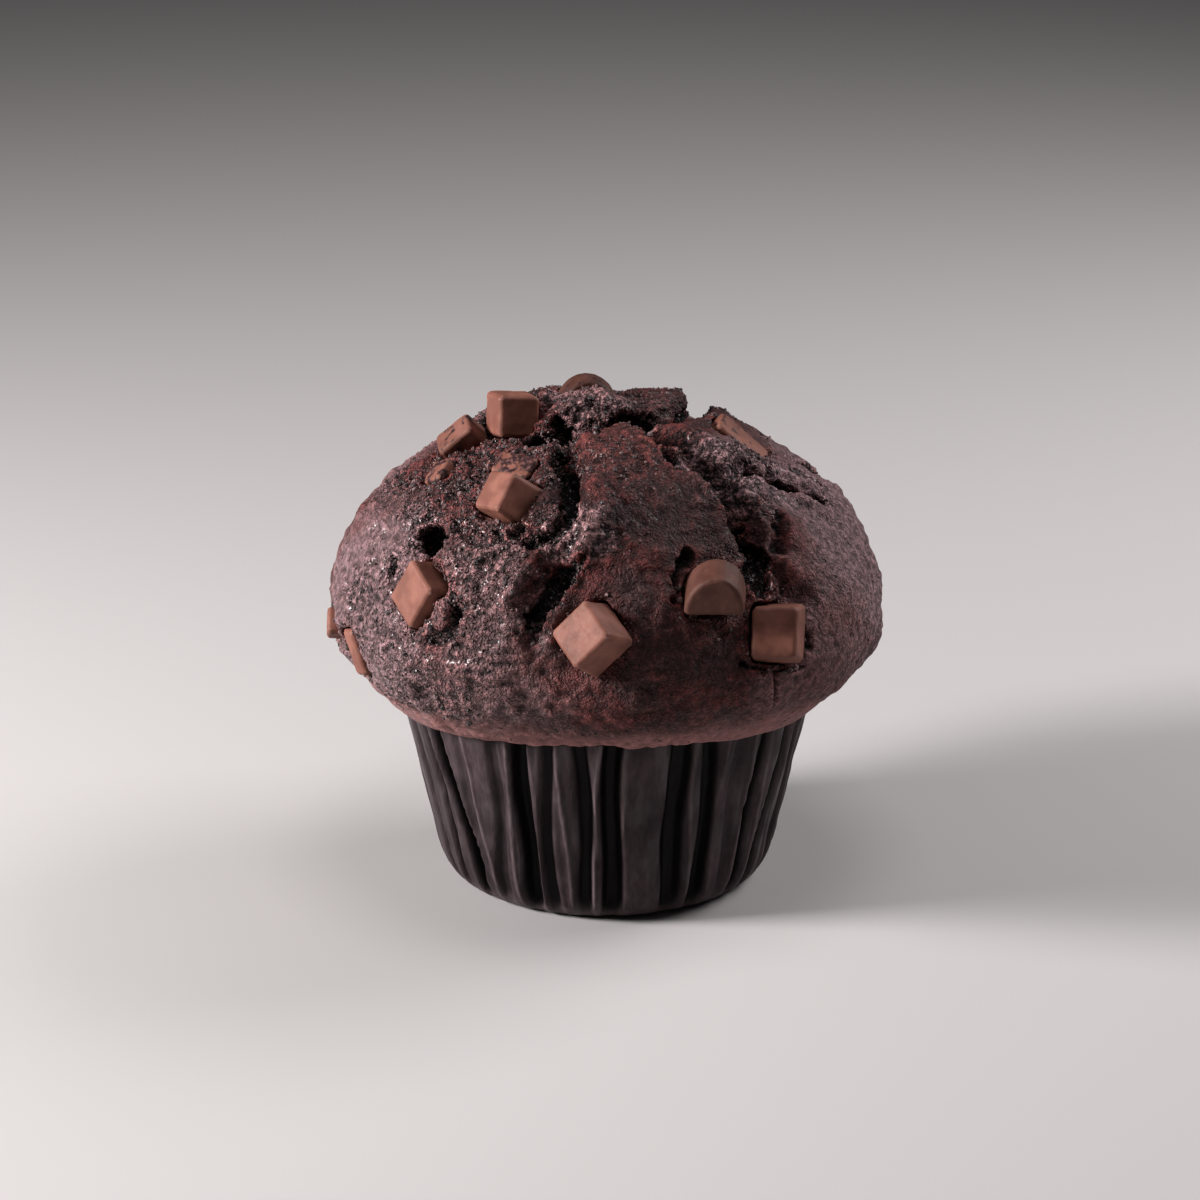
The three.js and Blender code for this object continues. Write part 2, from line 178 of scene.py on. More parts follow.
def neighbourMean(values, edges, rounds):
    # Values averaged with their neighbours again and again, as a smooth brush does.
    count = np.bincount(edges.ravel(), minlength=len(values))[:, None]
    a, b = edges[:, 0], edges[:, 1]
    for _ in range(rounds):
        total = np.empty_like(values)
        for k in range(values.shape[1]):
            total[:, k] = np.bincount(a, weights=values[b, k], minlength=len(values))
            total[:, k] += np.bincount(b, weights=values[a, k], minlength=len(values))
        values = 0.4 * values + 0.6 * total / np.maximum(count, 1)
    return values


def directionOf(azimuth, elevation):
    # Azimuth 0 is the front, -Y, and grows towards +X. Both are in degrees.
    a, e = np.radians(azimuth), np.radians(elevation)
    return np.stack([np.cos(e) * np.sin(a), -np.cos(e) * np.cos(a), np.sin(e)], axis=-1)


# Shader building
def setSocket(tree, socket, value):
    # A number, colour or vector is set on the socket, and another node's output is linked to it.
    if isinstance(value, (int, float)):
        socket.default_value = value
    elif isinstance(value, tuple):
        socket.default_value = (*value, 1.0)[:len(socket.default_value)]
    else:
        tree.links.new(value, socket)


def setSockets(tree, node, **values):
    for name, value in values.items():
        setSocket(tree, node.inputs[name.replace("_", " ")], value)


def addNode(tree, kind, **settings):
    # Nodes are laid out in columns as they are made. A setting with a capital is a socket.
    column, row = divmod(len(tree.nodes), 8)
    node = tree.nodes.new(kind)
    node.location = (260 * column, -240 * row)
    for name, value in settings.items():
        if name[0].isupper():
            setSockets(tree, node, **{name: value})
        else:
            setattr(node, name, value)
    return node


def newMaterial(name):
    material = bpy.data.materials.new(name)
    material.use_nodes = True
    tree = material.node_tree
    return material, tree, tree.nodes["Principled BSDF"]


def mathNode(tree, operation, *values, kind="ShaderNodeMath"):
    node = addNode(tree, kind, operation=operation)
    for socket, value in zip(node.inputs, values):
        setSocket(tree, socket, value)
    return node.outputs[0]


def multiplied(tree, first, second):
    return mathNode(tree, "MULTIPLY", first, second)


def rangeNode(tree, value, low, high, toLow=0.0, toHigh=1.0):
    node = addNode(tree, "ShaderNodeMapRange", interpolation_type="SMOOTHSTEP", Value=value,
                   From_Min=low, From_Max=high, To_Min=toLow, To_Max=toHigh)
    return node.outputs[0]


def colourMix(tree, factor, first, second, blend="MIX"):
    node = addNode(tree, "ShaderNodeMix", data_type="RGBA", blend_type=blend)
    for index, value in ((0, factor), (6, first), (7, second)):
        setSocket(tree, node.inputs[index], value)
    return node.outputs[2]


def noiseNode(tree, place, scale, detail, roughness=0.5):
    node = addNode(tree, "ShaderNodeTexNoise", Vector=place, Scale=scale, Detail=detail,
                   Roughness=roughness)
    return node.outputs["Fac"]


def cellNode(tree, place, scale):
    return addNode(tree, "ShaderNodeTexVoronoi", Vector=place, Scale=scale).outputs["Distance"]


def objectPlace(tree):
    return addNode(tree, "ShaderNodeTexCoord").outputs["Object"]


def attributeNodes(tree, *names):
    return [addNode(tree, "ShaderNodeAttribute", attribute_name=name).outputs["Fac"] for name in names]


def bumpNormal(tree, height, distance, strength=1.0):
    bump = addNode(tree, "ShaderNodeBump", Height=height, Distance=distance, Strength=strength)
    return bump.outputs["Normal"]


def newGroup(name, numbers, outputs):
    # A group with a Vector input, number inputs with their usual values, and number outputs.
    group = bpy.data.node_groups.new(name, "ShaderNodeTree")
    group.interface.new_socket("Vector", in_out="INPUT", socket_type="NodeSocketVector")
    for socketName, value in numbers.items():
        socket = group.interface.new_socket(socketName, in_out="INPUT", socket_type="NodeSocketFloat")
        socket.default_value = value
    for socketName in outputs:
        group.interface.new_socket(socketName, in_out="OUTPUT", socket_type="NodeSocketFloat")
    return group, addNode(group, "NodeGroupInput").outputs


# Sizes in the grain, as shares of its own size or scale
grainShape = {
    "softScale": 0.62,
    "fineScale": 2.4,
    "poreScale": 0.55,
    "bend": 2.2,  # how far the granules' places are bent
    "granuleDepth": 0.8,
    "middle": 0.14,
    "reliefReach": 0.26,
}


def buildGrainGroup():
    # Baked grain: uneven granules with sunken gaps, soft bumps and fine bumps, at a size in metres; the
    # crust's material paints shade into the gaps from Relief.
    # Relief is 0 in the gaps and 1 on the granules, and Speckle marks the finest peaks.
    shape = grainShape
    group, start = newGroup("bakedGrain", {"Size": 0.001, "Fine": 0.5, "Pores": 0.5},
                            ("Height", "Relief", "Speckle", "Pore"))
    place, size, fineShare = start["Vector"], start["Size"], start["Fine"]
    scale = mathNode(group, "DIVIDE", 1.0, size)
    soft = noiseNode(group, place, multiplied(group, scale, shape["softScale"]), 3.0, 0.62)
    fine = noiseNode(group, place, multiplied(group, scale, shape["fineScale"]), 2.0, 0.65)
    pore = cellNode(group, place, multiplied(group, scale, shape["poreScale"]))
    # The granules' places are bent, so that no cell of the pattern shows.
    bend = noiseNode(group, place, scale, 1.0).node.outputs["Color"]
    vectors = {"kind": "ShaderNodeVectorMath"}
    shift = mathNode(group, "SUBTRACT", bend, (0.5, 0.5, 0.5), **vectors)
    shift = mathNode(group, "MULTIPLY", shift, multiplied(group, size, shape["bend"]), **vectors)
    granule = cellNode(group, mathNode(group, "ADD", place, shift, **vectors), scale)
    poreMask = multiplied(group, rangeNode(group, pore, 0.08, 0.24, 1.0, 0.0), start["Pores"])
    height = mathNode(group, "ADD", soft, multiplied(group, fine, fineShare))
    height = mathNode(group, "SUBTRACT", height, multiplied(group, granule, shape["granuleDepth"]))
    height = mathNode(group, "SUBTRACT", height, poreMask)
    middle = mathNode(group, "MULTIPLY_ADD", fineShare, 0.5, shape["middle"])
    around = mathNode(group, "SUBTRACT", height, middle)
    relief = rangeNode(group, around, -shape["reliefReach"], shape["reliefReach"])
    speckle = multiplied(group, rangeNode(group, fine, 0.50, 0.62), relief)
    addNode(group, "NodeGroupOutput", Height=height, Relief=relief, Speckle=speckle, Pore=poreMask)
    return group


# The crown: the baked cake over the case's rim
crownShape = {
    "centreHeight": 45.0,  # mm, the point that azimuths and elevations are taken from
    "cutHeight": 28.5,  # mm, below this the cake is a plain stump inside the case
    "voxel": 0.42,  # mm
    "blurRounds": 70,
    "crackDeeper": 0.5,  # mm that the solid's own cracks are opened further inwards
    "crumbHeight": 0.95,  # mm, lumps of crumb where the crust is broken
    "crumbyHeight": 0.62,  # mm, lumps where it is crumby but whole
    "lumps": ((7.0, 0.36), (3.0, 0.32), (1.5, 0.24)),  # size and height in mm
    "lumpCells": (1.7, 0.95),  # mm, the larger and the smaller lumps of crumb
    "wrinkleHeight": 0.34,
    "wrinkleSize": (3.6, 1.5, 1.0),  # mm round the crown, up it and through it
    "girth": 44.0,  # mm, the crown's usual radius
    "chunkReach": 3.0,  # mm round each chunk where the crust gives way to its pocket
    "rimFade": (2.0, 5.5),  # mm over the cut, where the relief fades in
    "edgeRadius": (33.0, 33.9),  # mm, where the crust's lower edge starts to hang
    "edgeHeight": (31.5, 34.5),
    "bandHeight": (33.0, 39.5),  # mm, where the smooth pale band round the edge fades out
    "lipDrop": 0.5,  # mm that the crust's lower edge hangs over the case's rim
    "peakHeight": 0.30,  # mm of relief over which the painted shading runs from darkest in a hollow to palest on a peak
    "mostTriangles": 196000,  # of the finished crown
    "seed": 11,
}
# Patches of crust: azimuth, elevation, reach in degrees, dryness, gloss, and how mauve it baked
crustPatches = (
    (-68, 48, 32, 0.25, 0.5, 0.05),
    (-62, 6, 35, 0.85, 1.0, 1.0),
    (-24, 3, 22, 0.55, 1.0, 0.8),
    (-29, 21, 15, 0.85, 1.0, 0.7),
    (-9, 33, 9, 0.95, 0.8, 0.7),
    (86, 16, 42, 1.00, 0.12, 1.0),
    (57, 45, 22, 1.00, 0.55, 0.9),
    (50, -4, 22, 0.60, 0.25, 0.6),
    (0, 86, 20, 0.85, 0.8, 0.7),
    (-122, 24, 40, 0.75, 0.6, 0.8),
    (158, 22, 36, 0.90, 0.2, 0.8),
)
# Where the crust is crumby all over: azimuth, elevation, reach in degrees and strength
crumbyPatches = (
    (-55, 52, 34, 1.00),
    (-12, 34, 13, 0.75),
    (-30, 28, 16, 0.90),
    (-24, 18, 16, 0.50),
    (-46, 10, 30, 0.60),
    (80, 18, 36, 0.26),
    (0, 86, 22, 1.00),
    (54, 47, 15, 0.95),
    (8, 60, 16, 0.55),
    (6, 44, 18, 0.32),
    (-130, 58, 26, 0.6),
    (140, 62, 24, 0.6),
    (30, 16, 12, 0.35),
)


# Where the crust has broken open: a path of azimuth and elevation, half width, depth and how
# crumbly it is, in mm
brokenCrust = (
    (((-88, 58), (-52, 66), (-42, 72), (-14, 68), (-2, 71), (26, 78), (54, 77)), 2.0, 2.4, 1.0),
    (((54, 77), (24, 62), (27, 53), (35, 46), (37, 39), (38, 29), (39, 24), (35, 17)), 1.9, 2.6, 1.0),
    (((47, 60), (48, 52), (49, 44), (46, 37)), 3.0, 0.4, 0.8),
    (((-27, 66), (-21, 57), (-17, 52), (-12, 46), (-10, 37), (-14, 32), (-21, 30)), 1.5, 2.6, 0.8),
    (((-6, 27), (-10, 22), (-13, 18), (-16, 12)), 1.9, 2.1, 0.9),
    (((-42, 20), (-35, 18), (-31, 14), (-33, 9), (-37, 7)), 1.5, 1.1, 1.1),
    (((60, 44), (66, 39), (72, 34), (80, 28)), 1.7, 2.6, 0.9),
    (((83, 38), (88, 31)), 1.2, 0.9, 0.8),
    (((-82, 44), (-72, 43), (-47, 39), (-50, 34), (-52, 30)), 1.7, 0.9, 1.0),
    (((-84, 52), (-56, 49), (-46, 43)), 1.8, 0.8, 1.0),
    (((-42, 32), (-31, 29), (-22, 32)), 1.7, 0.7, 0.9),
    (((160, 60), (149, 53)), 2.5, 0.8, 1.0),
    (((-51, 27), (-44, 26)), 2.6, 3.0, 1.0),
    (((-58, 19), (-56, 17)), 1.4, 1.6, 0.8),
    (((51, 34), (51, 32)), 0.9, 1.3, 0.4),
    (((21, 27), (17, 22), (17, 17)), 1.3, 2.2, 0.2),
    (((28, 4), (35, 2), (42, 1)), 0.8, 1.2, 0.2),
    (((43, 12), (43, 5)), 0.8, 1.0, 0.2),
    (((35, 1), (35, -3), (37, -8)), 0.4, 0.9, 0.1),
    (((-75, 58), (-98, 56), (-128, 58), (-155, 48), (-168, 36)), 2.0, 2.2, 1.0),
    (((54, 76), (70, 72), (104, 66), (125, 59), (142, 48), (146, 36)), 1.8, 2.0, 1.0),
    (((142, 47), (168, 54), (-166, 60)), 1.7, 1.8, 1.0),
    (((100, 36), (112, 24), (110, 12)), 1.6, 1.6, 0.9),
    (((-118, 40), (-112, 28), (-120, 16)), 1.6, 1.6, 0.9),
    (((-140, 31), (-139, 29)), 2.2, 2.0, 0.9),
    (((150, 15), (151, 13)), 1.8, 1.6, 0.8),
)


# Raised edges of crust, and soft dents where the height is below 0: a path of azimuth and
# elevation, half width and height in mm
raisedEdges = (
    (((-62, 60), (-80, 68), (-100, 74), (-110, 82), (-40, 87), (20, 85)), 2.8, 1.5),
    (((-11, 62), (-10, 56), (-4, 45), (0, 39), (-6, 28)), 2.4, 1.3),
    (((18, 62), (25, 57), (31, 49), (34, 42), (35, 33)), 1.2, 0.4),
    (((-2, 38), (-7, 27)), 2.8, 0.9),
    (((-55, 34), (-62, 24), (-60, 12)), 1.8, 0.5),
    (((-42, -1), (-41, -9), (-43, -14)), 2.2, -0.7),
    (((-19, 1), (-15, -6), (-13, -12)), 2.6, -0.8),
    (((-30, 2), (-28, -8)), 3.2, 0.5),
    (((60, 38), (68, 32), (76, 26)), 1.6, 0.7),
    (((57, 60), (52, 52), (49, 44), (46, 36)), 2.8, 1.3),
    (((62, 52), (57, 45), (54, 38)), 1.4, 0.7),
    (((-84, 56), (-104, 52), (-130, 53)), 1.8, 0.8),
    (((136, 62), (150, 52), (154, 42)), 1.6, 0.8),
)

# Torn, reddish crust: a path of azimuth and elevation, and its reach in mm
tornCrust = (
    (((-42, 20), (-35, 18), (-31, 14), (-33, 9), (-37, 7)), 2.8),
    (((-17, 10), (-15, 5), (-9, 2), (-1, 6)), 2.2),
    (((-44, 34), (-33, 30), (-22, 33)), 2.2),
    (((16, 14), (22, 12), (28, 12)), 2.2),
    (((20, 27), (29, 25)), 1.8),
    (((-50, 62), (-60, 48), (-70, 40)), 3.4),
    (((-2, 60), (8, 64), (14, 58), (4, 50)), 4.5),
    (((36, 56), (24, 74), (-10, 76)), 3.0),
)


def strokeDistance(points, path):
    # How far each point lies from a path over the crown, in mm along the crust, and how far along.
    outward = points - np.array([0, 0, crownShape["centreHeight"]])
    reach = np.linalg.norm(outward, axis=1)
    outward = outward / reach[:, None]
    corners = [directionOf(*corner) for corner in path]
    nearest = np.full(len(points), 9.0)
    along = np.zeros(len(points))
    for k in range(len(corners) - 1):
        start, step = corners[k], corners[k + 1] - corners[k]
        share = np.clip((outward - start) @ step / (step @ step), 0, 1)
        away = np.linalg.norm(outward - start - share[:, None] * step, axis=1)
        closer = away < nearest
        nearest = np.where(closer, away, nearest)
        along = np.where(closer, (k + share) / (len(corners) - 1), along)
    return nearest * reach, along


def breakCrust(points, seed):
    # The depth of the broken places, how crumbly they are, and a mask for the deep ones.
    wander = 0.95 * softNoise(points, 3.1, seed) + 0.60 * softNoise(points, 1.3, seed + 3)
    depth, crumbly, deep = np.zeros(len(points)), np.zeros(len(points)), np.zeros(len(points))
    for path, halfWidth, strokeDepth, rough in brokenCrust:
        away, along = strokeDistance(points, path)
        taper = 0.55 + 0.45 * np.sin(math.pi * np.clip(along, 0, 1)) ** 0.5
        away = away + wander * min(1.0, halfWidth)
        opened = 1 - smoothStep(0.55 * halfWidth, 1.10 * halfWidth, away / taper)
        depth = np.maximum(depth, strokeDepth * opened)
        crumbly = np.maximum(crumbly, rough * (1 - smoothStep(0.8 * halfWidth, 1.5 * halfWidth, away)))
        deep = np.maximum(deep, opened * smoothStep(0.6, 1.6, np.full(1, strokeDepth))[0])
    return depth, crumbly, deep


def raiseEdges(points, seed):
    lift = np.zeros(len(points))
    wander = 0.6 * softNoise(points, 3.4, seed) + 0.3 * softNoise(points, 1.4, seed + 1)
    for path, halfWidth, height in raisedEdges:
        away, along = strokeDistance(points, path)
        taper = np.sin(math.pi * np.clip(along, 0.08, 0.92)) ** 0.5
        lift += height * taper * (1 - smoothStep(0, halfWidth, np.abs(away + wander)))
    return lift


def patchShare(outward, azimuth, elevation, reach, wander):
    away = np.degrees(np.arccos(np.clip(outward @ directionOf(azimuth, elevation), -1, 1)))
    return 1 - smoothStep(0.55 * reach, 1.08 * reach, away + wander)


def crustTone(points):
    # How dry, glossy, mauve and crumby the crust is, as the crown baked unevenly.
    outward = points - np.array([0, 0, crownShape["centreHeight"]])
    outward /= np.linalg.norm(outward, axis=1)[:, None]
    wander = 7 * softNoise(points, 9.0, 41) + 4.5 * softNoise(points, 3.2, 42)
    dry, gloss, mauve = (np.full(len(points), start) for start in (0.05, 0.45, 0.2))
    for azimuth, elevation, reach, patchDry, patchGloss, patchMauve in crustPatches:
        share = patchShare(outward, azimuth, elevation, reach, wander)
        dry = np.maximum(dry, share * patchDry)
        gloss = gloss * (1 - share) + patchGloss * share
        mauve = mauve * (1 - share) + patchMauve * share
    crumby = np.zeros(len(points))
    for azimuth, elevation, reach, strength in crumbyPatches:
        share = patchShare(outward, azimuth, elevation, reach, 1.6 * wander)
        crumby = np.maximum(crumby, share * strength)
    return dry, gloss, mauve, crumby


def tornShare(points, seed):
    share = np.zeros(len(points))
    wander = 1.1 * softNoise(points, 2.4, seed) + 0.7 * softNoise(points, 1.0, seed + 1)
    for path, reach in tornCrust:
        away, _ = strokeDistance(points, path)
        share = np.maximum(share, 1 - smoothStep(0.5 * reach, 1.2 * reach, away + wander))
    return share


def chunkDistance(points, reach):
    # How far each point is from the nearest chunk's surface, up to reach.
    distance = np.full(len(points), float(reach))
    for name in chunkNames:
        mesh = cadNodes[name].data
        tree = BVHTree.FromPolygons([v.co / mm for v in mesh.vertices],
                                    [tuple(f.vertices) for f in mesh.polygons])
        low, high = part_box(name)
        near = np.all((points > np.array(low) / mm - reach) & (points < np.array(high) / mm + reach), axis=1)
        for index in np.nonzero(near)[0]:
            found = tree.find_nearest(Vector(points[index]), reach)
            if found[0] is not None:
                distance[index] = min(distance[index], found[3])
    return distance


def cutCake(pieceName, **side):
    # The cake's part over the cut or under it.
    piece = copyNode("cake", pieceName)
    editAll(piece, bpy.ops.mesh.bisect, plane_co=(0, 0, crownShape["cutHeight"] * mm),
            plane_no=(0, 0, 1), use_fill=True, **side)
    return piece


def buildCrown():
    shape, seed = crownShape, crownShape["seed"]
    crown = cutCake("crown", clear_inner=True)
    applyModifier(crown, "REMESH", mode="VOXEL", voxel_size=shape["voxel"] * mm)
    edges = readEdges(crown)
    points = neighbourMean(readPoints(crown), edges, 2)
    writePoints(crown, points)
    smoothed = neighbourMean(points, edges, shape["blurRounds"])
    broadNormals = neighbourMean(readNormals(crown), edges, 24)
    broadNormals /= np.linalg.norm(broadNormals, axis=1)[:, None] + 1e-9
    cavity = np.sum((points - smoothed) * broadNormals, axis=1)

    # Cracks, raised edges and crumb. free is 0 in the pockets that hold the chunks.
    nearChunk = chunkDistance(points, shape["chunkReach"])
    free = smoothStep(0.45, 1.5, nearChunk)
    outside = smoothStep(0.3, 0.9, nearChunk)
    fadeLow, fadeHigh = shape["rimFade"]
    above = smoothStep(shape["cutHeight"] + fadeLow, shape["cutHeight"] + fadeHigh, points[:, 2])
    ragged = 0.30 * softNoise(points, 1.7, seed) + 0.22 * softNoise(points, 0.8, seed + 3)
    sunken = smoothStep(0.35, 1.0, -cavity + ragged)
    points += broadNormals * (raiseEdges(points, seed + 70) * free)[:, None]
    depth, crumbly, deep = breakCrust(points, seed + 5)
    # crack paints the cracks and sunken hollows near-black: painted shade, over the crumb's own darker
    # colour.
    crack = np.maximum(0.2 * sunken, deep) * free * above
    crumbly = np.maximum(crumbly, sunken) * above * outside
    depth = np.maximum(depth, shape["crackDeeper"] * sunken) * free * above
    dry, gloss, mauve, crumby = crustTone(points)
    cell, smallCell = (cellNoise(points, size, seed + 9 + k) for k, size in enumerate(shape["lumpCells"]))
    lumpy = 0.55 - cell + (0.5 - smallCell) * 0.60 + 0.35 * softNoise(points, 3.5, seed + 13)
    crumby = crumby * above * outside
    rise = np.maximum(crumbly * shape["crumbHeight"], crumby * shape["crumbyHeight"])
    points += broadNormals * (rise * lumpy - depth)[:, None]

    skin = (1 - np.clip(crumbly, 0, 1)) * above
    lift = np.zeros(len(points))
    for k, (size, height) in enumerate(shape["lumps"]):
        lift += height * softNoise(points, size, seed + 20 + k)
    # Fine wrinkles run level round the glossy side of the crust.
    around = np.arctan2(points[:, 0], -points[:, 1]) * shape["girth"]
    unrolled = np.stack([around, points[:, 2], np.zeros(len(points))], axis=1)
    wrinkle = softNoise(unrolled, shape["wrinkleSize"], seed + 31) + 0.35 * softNoise(points, 1.3, seed + 33)
    lift += shape["wrinkleHeight"] * wrinkle * (0.25 + 0.75 * gloss)
    points += broadNormals * (lift * skin * smoothStep(0.2, 0.9, nearChunk))[:, None]

    # The crust's lower edge droops a little over the rim of the case.
    radius = np.hypot(points[:, 0], points[:, 1])
    edge = smoothStep(*shape["edgeRadius"], radius) * (1 - smoothStep(*shape["edgeHeight"], points[:, 2]))
    points[:, 2] -= shape["lipDrop"] * edge
    writePoints(crown, points)

    byChunk = 1 - smoothStep(0.35, 2.0, nearChunk + 0.8 * softNoise(points, 2.0, seed + 51))
    torn = np.maximum(0.8 * byChunk, tornShare(points, seed + 53)) * (1 - 0.7 * crack)
    band = 1 - smoothStep(*shape["bandHeight"], points[:, 2] + 1.6 * softNoise(points, 6.0, seed + 57))
    # How far each point stands out of its near surroundings: 0 in a hollow, 1 on a peak. The crust's
    # material paints shade into the hollows and light onto the peaks from it.
    stand = np.sum((points - neighbourMean(points, edges, 4)) * broadNormals, axis=1)
    peak = 0.5 + stand / shape["peakHeight"]
    tones = {"crack": crack, "crumbly": np.maximum(crumbly, 0.7 * crumby), "dry": dry, "gloss": gloss,
             "mauve": mauve, "torn": torn, "band": band, "peak": peak}
    for name, values in tones.items():
        writeAttribute(crown, name, np.clip(values, 0, 1))
    bpy.ops.object.shade_smooth()
    print("crown:", len(points), "points")
    return crown, crack, crumby, nearChunk


def thinCrown(crown):
    # The crumbs are placed on the fine mesh, which is then thinned where it is flattest.
    share = crownShape["mostTriangles"] / (2 * len(crown.data.polygons))
    applyModifier(crown, "DECIMATE", ratio=share)
    crown.data.calc_loop_triangles()
    print("crown thinned:", len(crown.data.loop_triangles), "triangles")


crustLook = {
    "moist": (0.028, 0.0066, 0.0064),
    "moistRed": (0.068, 0.0122, 0.0106),
    "dryRed": (0.146, 0.047, 0.043),
    "dryMauve": (0.168, 0.100, 0.105),
    # near-black painted shade in the cracks, hollows and pores, over the crumb's own darker colour
    "crack": (0.0075, 0.0036, 0.0039),
    "torn": (0.090, 0.022, 0.019),
    "tornPale": (0.180, 0.058, 0.047),
    "band": (0.235, 0.108, 0.102),
    "shares": {"band": 0.85, "torn": 0.50, "crack": 0.84, "pore": 0.8},  # of each over the rest; the crack and pore shares lay near-black painted shade
    "grain": 0.00080,  # metres
    "bump": 0.00056,  # metres
    "fineContrast": (0.75, 1.10),  # of the painted shade and light from the grain's relief, on smooth crust and added on crumb
    "reliefContrast": (1.35, 1.10),  # of the painted shade and light from the modelled relief, likewise
    "darkest": 0.20,  # of the painted shade's tone in the deepest hollow
    "coat": 1.0,
    "crumbCoat": 0.65,
    "coatRoughness": 0.31,
    "specular": 0.20,
}


def paintedReliefShade(tree, height, strength):
    # Painted light and shade: 1 at the middle height, lighter over it and darker under it.
    around = mathNode(tree, "SUBTRACT", height, 0.5)
    return mathNode(tree, "MAXIMUM", mathNode(tree, "MULTIPLY_ADD", around, strength, 1.0),
                    crustLook["darkest"])


def contrastStrength(tree, crumbly, amounts):
    smooth, added = amounts
    return mathNode(tree, "MULTIPLY_ADD", crumbly, added, smooth)


def crustMaterial(grainGroup):
    look, shares = crustLook, crustLook["shares"]
    material, tree, principled = newMaterial("bakedCrust")
    place = objectPlace(tree)
    crack, crumbly, dry, gloss, mauve, torn, band, peak = attributeNodes(
        tree, "crack", "crumbly", "dry", "gloss", "mauve", "torn", "band", "peak")
    grain = addNode(tree, "ShaderNodeGroup", node_tree=grainGroup, Vector=place, Size=look["grain"],
                    Fine=0.7, Pores=0.0).outputs
    redness = rangeNode(tree, noiseNode(tree, place, 150.0, 4.0), 0.44, 0.64)
    spots = noiseNode(tree, place, 420.0, 2.0)
    pale = rangeNode(tree, spots, 0.52, 0.70)
    # Small open pores, more of them where the noise is high, painted near-black further on as painted shade
    # in them.
    reach = rangeNode(tree, spots, 0.40, 0.62, 0.02, 0.26)
    poreMask = mathNode(tree, "SUBTRACT", reach, cellNode(tree, place, 760.0))
    poreMask = rangeNode(tree, poreMask, 0.0, 0.10)
    colour = colourMix(tree, redness, look["moist"], look["moistRed"])
    colour = colourMix(tree, dry, colour, colourMix(tree, mauve, look["dryRed"], look["dryMauve"]))
    tornColour = colourMix(tree, pale, look["torn"], look["tornPale"])
    # Band and torn crust are the crust's own colours; the cracks get near-black painted shade.
    for share, part, over in ((band, "band", look["band"]), (torn, "torn", tornColour),
                              (crack, "crack", look["crack"])):
        colour = colourMix(tree, multiplied(tree, share, shares[part]), colour, over)
    # The crust's lower band is smooth.
    plain = rangeNode(tree, band, 0.0, 1.0, 1.0, 0.25)
    coarse = multiplied(tree, contrastStrength(tree, crumbly, look["fineContrast"]), plain)
    # Painted light on the peaks and painted shade in the hollows, from the grain and the modelled relief.
    fineGrainShade = paintedReliefShade(tree, grain["Relief"], coarse)
    modelledReliefShade = paintedReliefShade(tree, peak, contrastStrength(tree, crumbly, look["reliefContrast"]))
    tone = multiplied(tree, fineGrainShade, modelledReliefShade)
    colour = colourMix(tree, 1.0, colour, tone, blend="MULTIPLY")
    # Painted shade in the pores.
    colour = colourMix(tree, multiplied(tree, poreMask, shares["pore"]), colour, look["crack"])
    shine = rangeNode(tree, gloss, 0.10, 1.0, 0.10, look["coat"])
    wet = mathNode(tree, "MAXIMUM", shine, multiplied(tree, crumbly, look["crumbCoat"]))
    height = mathNode(tree, "SUBTRACT", grain["Height"], poreMask)
    setSockets(tree, principled, Base_Color=colour,
               Roughness=rangeNode(tree, gloss, 0.0, 1.0, 0.72, 0.50),
               Coat_Weight=multiplied(tree, wet, grain["Speckle"]),
               Coat_Roughness=look["coatRoughness"], Specular_IOR_Level=look["specular"],
               Normal=bumpNormal(tree, multiplied(tree, height, coarse), look["bump"]))
    return material


# Crumbs in the cracks, round the chunks and over the crumby crust: coarse ones and fine ones
crumbKinds = {
    "coarseCrumbs": {
        "inCracks": 800,
        "byChunks": 160,
        "onCrumby": 460,
        "size": (0.22, 0.60),  # mm, half width of the smallest and the largest
        "sunk": 0.5,  # share of a crumb that is sunk in the crust
        "rounds": 2,  # subdivisions of the ball that a crumb starts as
        "seed": 5,
    },
    "fineCrumbs": {
        "inCracks": 2600,
        "byChunks": 1000,
        "onCrumby": 4200,
        "size": (0.12, 0.33),
        "sunk": 0.4,
        "rounds": 1,
        "seed": 8,
    },
}


def crumbShape(rounds, seed):
    # One irregular crumb: an icosphere pulled out of shape.
    bpy.ops.mesh.primitive_ico_sphere_add(subdivisions=rounds, radius=1.0, location=(0, 0, 0))
    crumb = bpy.context.object
    points = readPoints(crumb) * mm
    push = 1 + 0.42 * softNoise(points, 0.9, seed) + 0.22 * softNoise(points, 0.45, seed + 4)
    points *= push[:, None]
    faces = np.array([list(f.vertices) for f in crumb.data.polygons])
    bpy.data.objects.remove(crumb)
    return points, faces


def randomTurn(rng):
    axis = rng.normal(size=4)
    w, x, y, z = axis / np.linalg.norm(axis)
    return np.array([
        [1 - 2 * (y * y + z * z), 2 * (x * y - z * w), 2 * (x * z + y * w)],
        [2 * (x * y + z * w), 1 - 2 * (x * x + z * z), 2 * (y * z - x * w)],
        [2 * (x * z - y * w), 2 * (y * z + x * w), 1 - 2 * (x * x + y * y)]])


